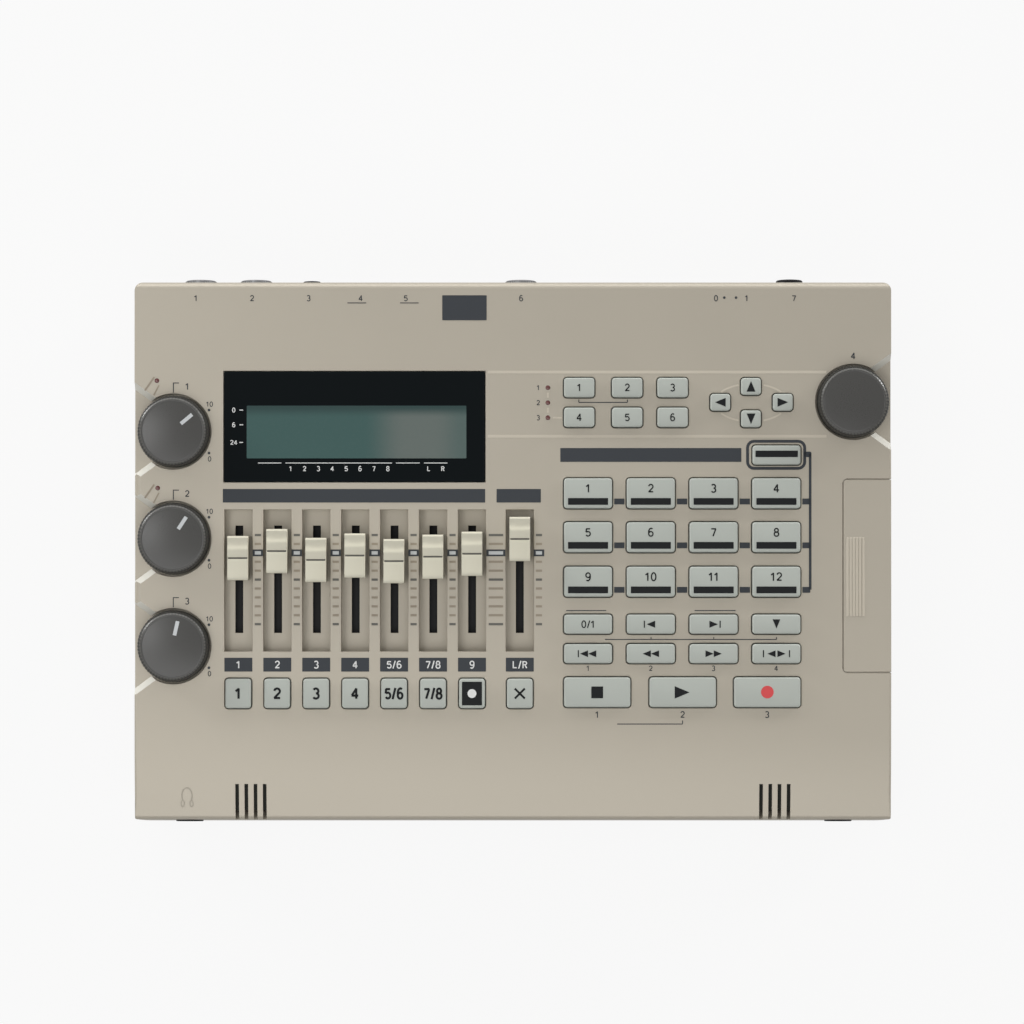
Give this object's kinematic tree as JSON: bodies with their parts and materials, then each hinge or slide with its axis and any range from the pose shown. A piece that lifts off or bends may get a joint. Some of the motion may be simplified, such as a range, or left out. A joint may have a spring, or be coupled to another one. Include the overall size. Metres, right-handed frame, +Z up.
{
  "type": "digital multitrack recorder",
  "caption": "Wedge-shaped desktop multitrack recorder with sliding faders, rotary knobs, a value dial, a display window, press keys, rear and front sockets and a memory card door.",
  "frame": {"origin": "centre of the outer box, on the table under the feet", "axes": "+X to the right along the case, +Y to the rear sockets, +Z up"},
  "size_m": [0.257, 0.186, 0.0505],
  "materials": {
    "case_paint": "satin champagne paint",
    "keys": "matte",
    "window": "gloss",
    "display": "satin",
    "board": "satin",
    "steel": "satin",
    "black_plastic": "matte",
    "lamp": "gloss",
    "feet": "matte",
    "fader_caps": "satin",
    "knobs": "satin"
  },
  "bodies": {
    "case": {"top_cover": "case_paint", "bottom_cover": "case_paint", "rear_panel": "case_paint", "lcd_window": "window", "lcd_module": "display", "panel_board": "board", "main_board": "board", "slide_pots": "steel", "rotary_pots": "steel", "key_switches": "black_plastic", "lamps": "lamp", "jack_sockets": "black_plastic", "jack_nuts": "black_plastic", "rear_connectors": "black_plastic", "card_socket": "black_plastic", "mic_capsules": "steel", "battery_contacts": "steel", "rubber_feet": "feet", "case_screws": "steel"},
    "fader_1": {"fader_1": "fader_caps"},
    "fader_2": {"fader_2": "fader_caps"},
    "fader_3": {"fader_3": "fader_caps"},
    "fader_4": {"fader_4": "fader_caps"},
    "fader_5": {"fader_5": "fader_caps"},
    "fader_6": {"fader_6": "fader_caps"},
    "fader_7": {"fader_7": "fader_caps"},
    "fader_master": {"fader_master": "fader_caps"},
    "knob_1": {"knob_1": "knobs"},
    "knob_2": {"knob_2": "knobs"},
    "knob_3": {"knob_3": "knobs"},
    "value_dial": {"value_dial": "knobs"},
    "power_switch": {"power_switch": "black_plastic"},
    "card_door": {"card_door": "case_paint"},
    "battery_cover": {"battery_cover": "case_paint"},
    "track_key_1": {"track_key_1": "keys"},
    "track_key_2": {"track_key_2": "keys"},
    "track_key_3": {"track_key_3": "keys"},
    "track_key_4": {"track_key_4": "keys"},
    "track_key_5": {"track_key_5": "keys"},
    "track_key_6": {"track_key_6": "keys"},
    "track_key_7": {"track_key_7": "keys"},
    "track_key_8": {"track_key_8": "keys"},
    "stop_key": {"stop_key": "keys"},
    "play_key": {"play_key": "keys"},
    "record_key": {"record_key": "keys"},
    "mode_key_1": {"mode_key_1": "keys"},
    "mode_key_2": {"mode_key_2": "keys"},
    "mode_key_3": {"mode_key_3": "keys"},
    "mode_key_4": {"mode_key_4": "keys"},
    "mode_key_5": {"mode_key_5": "keys"},
    "mode_key_6": {"mode_key_6": "keys"},
    "cursor_up_key": {"cursor_up_key": "keys"},
    "cursor_down_key": {"cursor_down_key": "keys"},
    "cursor_left_key": {"cursor_left_key": "keys"},
    "cursor_right_key": {"cursor_right_key": "keys"},
    "pad_key": {"pad_key": "keys"},
    "function_row_1": {"function_row_1": "keys"},
    "function_row_2": {"function_row_2": "keys"},
    "function_row_3": {"function_row_3": "keys"},
    "locate_rows": {"locate_rows": "keys"}
  },
  "joints": [
    {"name": "fader_1_slide", "type": "slide", "parent": "case", "child": "fader_1", "axis": [0, 0.9986, 0.0523], "range_m": [-0.02263, 0.00737]},
    {"name": "fader_2_slide", "type": "slide", "parent": "case", "child": "fader_2", "axis": [0, 0.9986, 0.0523], "range_m": [-0.025, 0.005]},
    {"name": "fader_3_slide", "type": "slide", "parent": "case", "child": "fader_3", "axis": [0, 0.9986, 0.0523], "range_m": [-0.022, 0.008]},
    {"name": "fader_4_slide", "type": "slide", "parent": "case", "child": "fader_4", "axis": [0, 0.9986, 0.0523], "range_m": [-0.0235, 0.0065]},
    {"name": "fader_5_slide", "type": "slide", "parent": "case", "child": "fader_5", "axis": [0, 0.9986, 0.0523], "range_m": [-0.0216, 0.0084]},
    {"name": "fader_6_slide", "type": "slide", "parent": "case", "child": "fader_6", "axis": [0, 0.9986, 0.0523], "range_m": [-0.0231, 0.0069]},
    {"name": "fader_7_slide", "type": "slide", "parent": "case", "child": "fader_7", "axis": [0, 0.9986, 0.0523], "range_m": [-0.0241, 0.0059]},
    {"name": "fader_master_slide", "type": "slide", "parent": "case", "child": "fader_master", "axis": [0, 0.9986, 0.0523], "range_m": [-0.0291, 0.0009]},
    {"name": "knob_1_turn", "type": "hinge", "parent": "case", "child": "knob_1", "pos_m": [-0.1153, 0.03914, 0.04343], "axis": [0, -0.0523, 0.9986], "range_deg": [-5, 285]},
    {"name": "knob_2_turn", "type": "hinge", "parent": "case", "child": "knob_2", "pos_m": [-0.1153, 0.00279, 0.04152], "axis": [0, -0.0523, 0.9986], "range_deg": [-22, 268]},
    {"name": "knob_3_turn", "type": "hinge", "parent": "case", "child": "knob_3", "pos_m": [-0.1153, -0.03366, 0.03961], "axis": [0, -0.0523, 0.9986], "range_deg": [-42.5, 247.5]},
    {"name": "value_dial_turn", "type": "hinge", "parent": "case", "child": "value_dial", "pos_m": [0.1156, 0.04923, 0.04396], "axis": [0, -0.0523, 0.9986], "continuous": true},
    {"name": "power_switch_slide", "type": "slide", "parent": "case", "child": "power_switch", "axis": [1, 0, 0], "range_m": [0, 0.004]},
    {"name": "card_door_slide", "type": "slide", "parent": "case", "child": "card_door", "axis": [1, 0, 0], "range_m": [0, 0.025]},
    {"name": "battery_cover_slide", "type": "slide", "parent": "case", "child": "battery_cover", "axis": [0, -1, 0], "range_m": [0, 0.014]},
    {"name": "track_key_1_press", "type": "slide", "parent": "case", "child": "track_key_1", "axis": [0, 0.0523, -0.9986], "range_m": [0, 0.001], "stiffness_N_per_m": 200, "springref_m": -0.0005},
    {"name": "track_key_2_press", "type": "slide", "parent": "case", "child": "track_key_2", "axis": [0, 0.0523, -0.9986], "range_m": [0, 0.001], "stiffness_N_per_m": 200, "springref_m": -0.0005},
    {"name": "track_key_3_press", "type": "slide", "parent": "case", "child": "track_key_3", "axis": [0, 0.0523, -0.9986], "range_m": [0, 0.001], "stiffness_N_per_m": 200, "springref_m": -0.0005},
    {"name": "track_key_4_press", "type": "slide", "parent": "case", "child": "track_key_4", "axis": [0, 0.0523, -0.9986], "range_m": [0, 0.001], "stiffness_N_per_m": 200, "springref_m": -0.0005},
    {"name": "track_key_5_press", "type": "slide", "parent": "case", "child": "track_key_5", "axis": [0, 0.0523, -0.9986], "range_m": [0, 0.001], "stiffness_N_per_m": 200, "springref_m": -0.0005},
    {"name": "track_key_6_press", "type": "slide", "parent": "case", "child": "track_key_6", "axis": [0, 0.0523, -0.9986], "range_m": [0, 0.001], "stiffness_N_per_m": 200, "springref_m": -0.0005},
    {"name": "track_key_7_press", "type": "slide", "parent": "case", "child": "track_key_7", "axis": [0, 0.0523, -0.9986], "range_m": [0, 0.001], "stiffness_N_per_m": 200, "springref_m": -0.0005},
    {"name": "track_key_8_press", "type": "slide", "parent": "case", "child": "track_key_8", "axis": [0, 0.0523, -0.9986], "range_m": [0, 0.001], "stiffness_N_per_m": 200, "springref_m": -0.0005},
    {"name": "stop_key_press", "type": "slide", "parent": "case", "child": "stop_key", "axis": [0, 0.0523, -0.9986], "range_m": [0, 0.001], "stiffness_N_per_m": 200, "springref_m": -0.0005},
    {"name": "play_key_press", "type": "slide", "parent": "case", "child": "play_key", "axis": [0, 0.0523, -0.9986], "range_m": [0, 0.001], "stiffness_N_per_m": 200, "springref_m": -0.0005},
    {"name": "record_key_press", "type": "slide", "parent": "case", "child": "record_key", "axis": [0, 0.0523, -0.9986], "range_m": [0, 0.001], "stiffness_N_per_m": 200, "springref_m": -0.0005},
    {"name": "mode_key_1_press", "type": "slide", "parent": "case", "child": "mode_key_1", "axis": [0, 0.0523, -0.9986], "range_m": [0, 0.001], "stiffness_N_per_m": 200, "springref_m": -0.0005},
    {"name": "mode_key_2_press", "type": "slide", "parent": "case", "child": "mode_key_2", "axis": [0, 0.0523, -0.9986], "range_m": [0, 0.001], "stiffness_N_per_m": 200, "springref_m": -0.0005},
    {"name": "mode_key_3_press", "type": "slide", "parent": "case", "child": "mode_key_3", "axis": [0, 0.0523, -0.9986], "range_m": [0, 0.001], "stiffness_N_per_m": 200, "springref_m": -0.0005},
    {"name": "mode_key_4_press", "type": "slide", "parent": "case", "child": "mode_key_4", "axis": [0, 0.0523, -0.9986], "range_m": [0, 0.001], "stiffness_N_per_m": 200, "springref_m": -0.0005},
    {"name": "mode_key_5_press", "type": "slide", "parent": "case", "child": "mode_key_5", "axis": [0, 0.0523, -0.9986], "range_m": [0, 0.001], "stiffness_N_per_m": 200, "springref_m": -0.0005},
    {"name": "mode_key_6_press", "type": "slide", "parent": "case", "child": "mode_key_6", "axis": [0, 0.0523, -0.9986], "range_m": [0, 0.001], "stiffness_N_per_m": 200, "springref_m": -0.0005},
    {"name": "cursor_up_key_press", "type": "slide", "parent": "case", "child": "cursor_up_key", "axis": [0, 0.0523, -0.9986], "range_m": [0, 0.001], "stiffness_N_per_m": 200, "springref_m": -0.0005},
    {"name": "cursor_down_key_press", "type": "slide", "parent": "case", "child": "cursor_down_key", "axis": [0, 0.0523, -0.9986], "range_m": [0, 0.001], "stiffness_N_per_m": 200, "springref_m": -0.0005},
    {"name": "cursor_left_key_press", "type": "slide", "parent": "case", "child": "cursor_left_key", "axis": [0, 0.0523, -0.9986], "range_m": [0, 0.001], "stiffness_N_per_m": 200, "springref_m": -0.0005},
    {"name": "cursor_right_key_press", "type": "slide", "parent": "case", "child": "cursor_right_key", "axis": [0, 0.0523, -0.9986], "range_m": [0, 0.001], "stiffness_N_per_m": 200, "springref_m": -0.0005},
    {"name": "pad_key_press", "type": "slide", "parent": "case", "child": "pad_key", "axis": [0, 0.0523, -0.9986], "range_m": [0, 0.001], "stiffness_N_per_m": 200, "springref_m": -0.0005},
    {"name": "function_row_1_press", "type": "slide", "parent": "case", "child": "function_row_1", "axis": [0, 0.0523, -0.9986], "range_m": [0, 0.001], "stiffness_N_per_m": 200, "springref_m": -0.0005},
    {"name": "function_row_2_press", "type": "slide", "parent": "case", "child": "function_row_2", "axis": [0, 0.0523, -0.9986], "range_m": [0, 0.001], "stiffness_N_per_m": 200, "springref_m": -0.0005},
    {"name": "function_row_3_press", "type": "slide", "parent": "case", "child": "function_row_3", "axis": [0, 0.0523, -0.9986], "range_m": [0, 0.001], "stiffness_N_per_m": 200, "springref_m": -0.0005},
    {"name": "locate_rows_press", "type": "slide", "parent": "case", "child": "locate_rows", "axis": [0, 0.0523, -0.9986], "range_m": [0, 0.001], "stiffness_N_per_m": 200, "springref_m": -0.0005}
  ]
}
